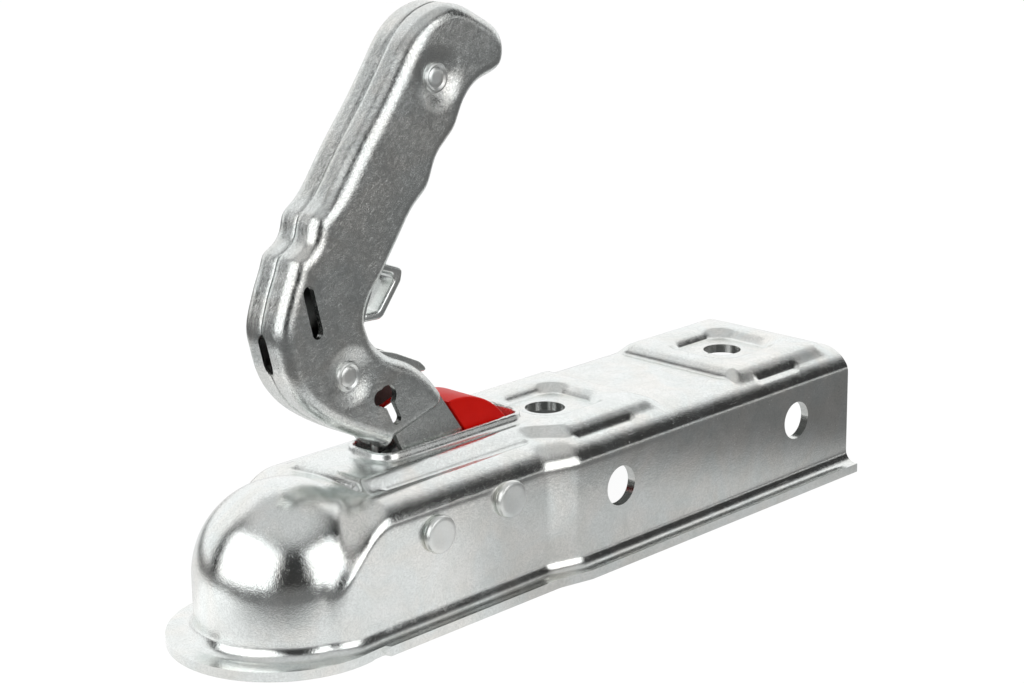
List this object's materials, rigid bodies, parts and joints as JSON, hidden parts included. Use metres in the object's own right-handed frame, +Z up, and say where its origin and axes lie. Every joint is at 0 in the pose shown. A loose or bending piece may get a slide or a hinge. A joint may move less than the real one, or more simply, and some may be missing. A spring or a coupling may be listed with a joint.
{
  "type": "trailer coupling head",
  "caption": "Pressed-steel trailer coupling head for a ball, with a raised riveted locking handle, clamping jaw, safety catch and wear indicator.",
  "frame": {"origin": "centre of the tow ball when the coupling is clamped on it", "axes": "+X from the ball towards the trailer's drawbar, +Z up, -Y the left side seen along +X with Z up being the near side of the picture; the handle is stored raised, as in the picture"},
  "size_m": [0.2667, 0.076, 0.1818],
  "materials": {
    "zinc_sheet": "bright zinc-plated steel sheet, satin, with a mottled crystalline grain and fine scratches",
    "zinc_pins": "duller zinc-plated pins, rivets, spacers, jaw and lever, smooth grey with dark rims",
    "spring_wire": "dark oiled spring wire",
    "red_plastic": "bright red moulded plastic, slightly glossy"
  },
  "bodies": {
    "base": {"housing": "zinc_sheet", "jaw_pin": "zinc_pins", "handle_pin": "zinc_pins", "jaw_spacers": "zinc_pins", "jaw_spring": "spring_wire", "handle_spacers": "zinc_pins", "closing_springs": "spring_wire"},
    "handle": {"handle_left": "zinc_sheet", "handle_right": "zinc_sheet", "cam_lever": "zinc_pins", "lever_dowel": "zinc_pins", "wear_indicator": "red_plastic", "indicator_pin": "zinc_pins", "upper_rivet": "zinc_pins", "lower_rivet": "zinc_pins", "upper_spacer": "zinc_pins", "lower_spacer": "zinc_pins", "catch_spring": "spring_wire"},
    "jaw": {"jaw": "zinc_pins"},
    "catch": {"safety_catch": "zinc_sheet"}
  },
  "joints": [
    {"name": "handle", "type": "hinge", "parent": "base", "child": "handle", "pos_m": [0.063, 0, 0.013], "axis": [0, 1, 0], "range_deg": [0, 50]},
    {"name": "jaw", "type": "hinge", "parent": "base", "child": "jaw", "pos_m": [0.033, 0, 0.01], "axis": [0, 1, 0], "range_deg": [0, 16]},
    {"name": "catch", "type": "hinge", "parent": "handle", "child": "catch", "pos_m": [0.019, 0, 0.0571], "axis": [0, -1, 0], "range_deg": [0, 12], "stiffness_Nm_per_rad": 0.5, "springref_deg": -11.46}
  ],
  "couplings": [
    {"joint": "jaw", "follows": "handle", "ratio": 0.32}
  ]
}
